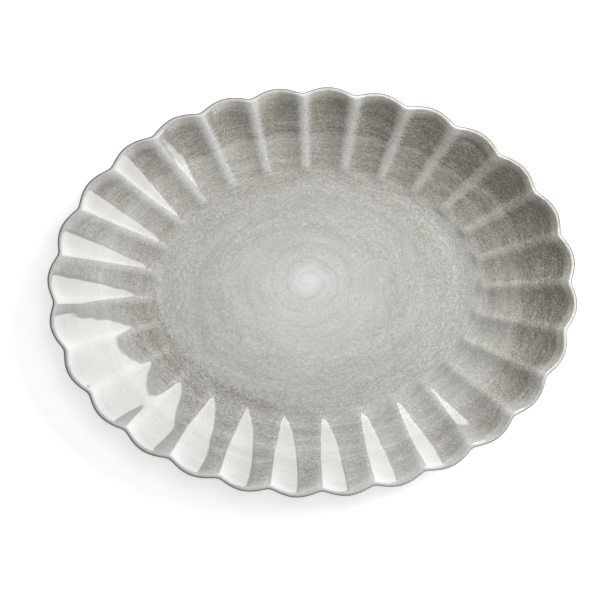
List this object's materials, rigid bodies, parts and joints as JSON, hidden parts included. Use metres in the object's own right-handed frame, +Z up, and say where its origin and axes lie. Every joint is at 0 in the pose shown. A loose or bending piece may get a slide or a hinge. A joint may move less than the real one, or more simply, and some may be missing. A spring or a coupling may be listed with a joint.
{
  "type": "platter",
  "caption": "Oval glazed stoneware serving platter with a shallow well, a wide fluted rim ending in a scalloped lip, and a low foot ring.",
  "frame": {"origin": "on the table, under the middle of the platter", "axes": "+X along the platter's length, +Y across it, +Z up out of the well"},
  "size_m": [0.3496, 0.271, 0.0345],
  "materials": {
    "bare_clay": "matt fired clay, wiped bare on the foot ring's tread",
    "face_glaze": "glossy brushed grey glaze, pale on the ridges and the lip",
    "back_glaze": "glossy grey glaze"
  },
  "bodies": {
    "root": {"stoneware_body": "bare_clay", "face_glaze": "face_glaze", "back_glaze": "back_glaze", "base_glaze": "back_glaze"}
  },
  "joints": []
}
